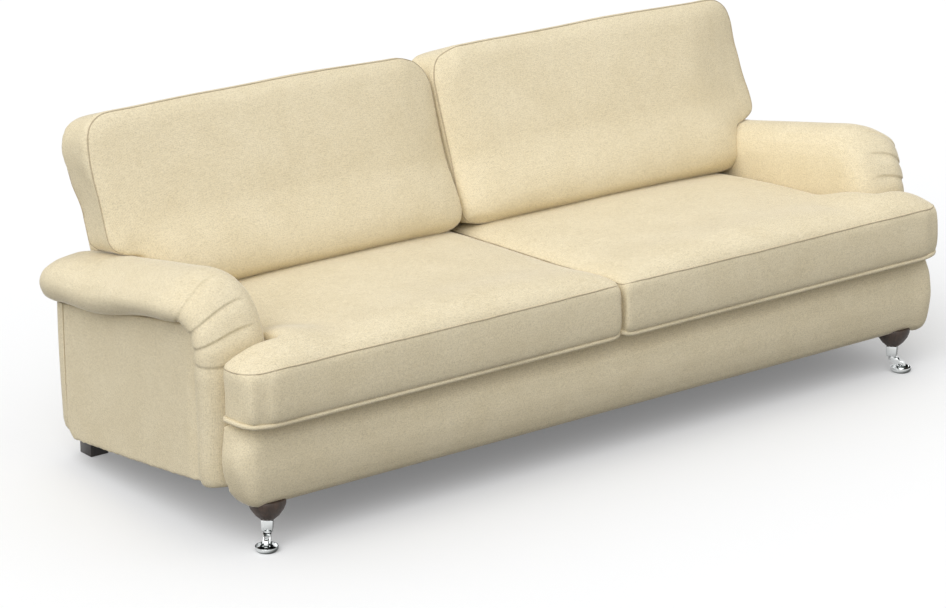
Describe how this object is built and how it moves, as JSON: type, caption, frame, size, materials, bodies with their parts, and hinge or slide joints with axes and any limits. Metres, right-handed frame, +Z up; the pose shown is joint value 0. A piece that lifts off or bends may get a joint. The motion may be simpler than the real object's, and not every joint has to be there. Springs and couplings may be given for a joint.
{
  "type": "english roll arm sofa",
  "caption": "Upholstered sofa with low rolled arms, loose T-shaped seat and back cushions, turned front legs on castors and block back feet.",
  "frame": {"origin": "middle of the box round the sofa, on the floor", "axes": "+X to the right seen from the front, -Y to the front, +Z up"},
  "size_m": [2.2818, 0.9614, 0.872],
  "materials": {
    "cloth": "soft cream woven cloth, matt",
    "frame_wood": "plain sawn beech",
    "webbing": "woven jute",
    "dust_cloth": "thin black lining",
    "leg_wood": "dark walnut stain, satin",
    "foot_wood": "near black stain, satin",
    "chrome": "polished"
  },
  "bodies": {
    "sofa": {"arm_cover_left": "cloth", "arm_cover_right": "cloth", "outside_arm_panel_left": "cloth", "outside_arm_panel_right": "cloth", "inside_back": "cloth", "outside_back": "cloth", "seat_deck": "cloth", "front_border": "cloth", "front_rail": "frame_wood", "rear_rail": "frame_wood", "seat_stretcher": "frame_wood", "centre_back_post": "frame_wood", "arm_board_left": "frame_wood", "arm_board_right": "frame_wood", "arm_post_left": "frame_wood", "arm_post_right": "frame_wood", "side_rail_left": "frame_wood", "side_rail_right": "frame_wood", "front_corner_block_left": "frame_wood", "front_corner_block_right": "frame_wood", "rear_corner_block_left": "frame_wood", "rear_corner_block_right": "frame_wood", "back_post_left": "frame_wood", "back_post_right": "frame_wood", "top_back_rail_left": "frame_wood", "top_back_rail_right": "frame_wood", "middle_back_rail_left": "frame_wood", "middle_back_rail_right": "frame_wood", "seat_strap_1": "webbing", "seat_strap_2": "webbing", "seat_strap_3": "webbing", "seat_strap_4": "webbing", "seat_strap_5": "webbing", "seat_strap_6": "webbing", "seat_strap_7": "webbing", "seat_strap_8": "webbing", "cross_strap_1": "webbing", "cross_strap_2": "webbing", "cross_strap_3": "webbing", "dust_cover": "dust_cloth", "front_leg_left": "leg_wood", "front_leg_right": "leg_wood", "castor_socket_left": "chrome", "castor_socket_right": "chrome", "rear_foot_left": "foot_wood", "rear_foot_right": "foot_wood"},
    "castor_left": {"castor_fork_left": "chrome", "castor_axle_left": "chrome", "castor_cup_left": "chrome"},
    "wheel_left": {"castor_wheel_left": "chrome"},
    "seat_left": {"seat_cushion_left": "cloth"},
    "back_left": {"back_cushion_left": "cloth"},
    "castor_right": {"castor_fork_right": "chrome", "castor_axle_right": "chrome", "castor_cup_right": "chrome"},
    "wheel_right": {"castor_wheel_right": "chrome"},
    "seat_right": {"seat_cushion_right": "cloth"},
    "back_right": {"back_cushion_right": "cloth"}
  },
  "joints": [
    {"name": "castor_swivel_left", "type": "hinge", "parent": "sofa", "child": "castor_left", "pos_m": [-0.99, -0.4037, 0.035], "axis": [0, 0, 1], "continuous": true},
    {"name": "castor_wheel_spin_left", "type": "hinge", "parent": "castor_left", "child": "wheel_left", "pos_m": [-1.00614, -0.42226, 0.0163], "axis": [0.7547, -0.6561, 0], "continuous": true},
    {"name": "seat_cushion_out_left", "type": "slide", "parent": "sofa", "child": "seat_left", "axis": [0, -0.9994, 0.0337], "range_m": [0, 0.2]},
    {"name": "back_cushion_up_left", "type": "slide", "parent": "sofa", "child": "back_left", "axis": [0, 0.3354, 0.9421], "range_m": [0, 0.2]},
    {"name": "castor_swivel_right", "type": "hinge", "parent": "sofa", "child": "castor_right", "pos_m": [0.99, -0.4037, 0.035], "axis": [0, 0, 1], "continuous": true},
    {"name": "castor_wheel_spin_right", "type": "hinge", "parent": "castor_right", "child": "wheel_right", "pos_m": [1.00411, -0.42385, 0.0163], "axis": [0.8191, 0.5736, 0], "continuous": true},
    {"name": "seat_cushion_out_right", "type": "slide", "parent": "sofa", "child": "seat_right", "axis": [0, -0.9994, 0.0337], "range_m": [0, 0.2]},
    {"name": "back_cushion_up_right", "type": "slide", "parent": "sofa", "child": "back_right", "axis": [0, 0.3354, 0.9421], "range_m": [0, 0.2]}
  ]
}
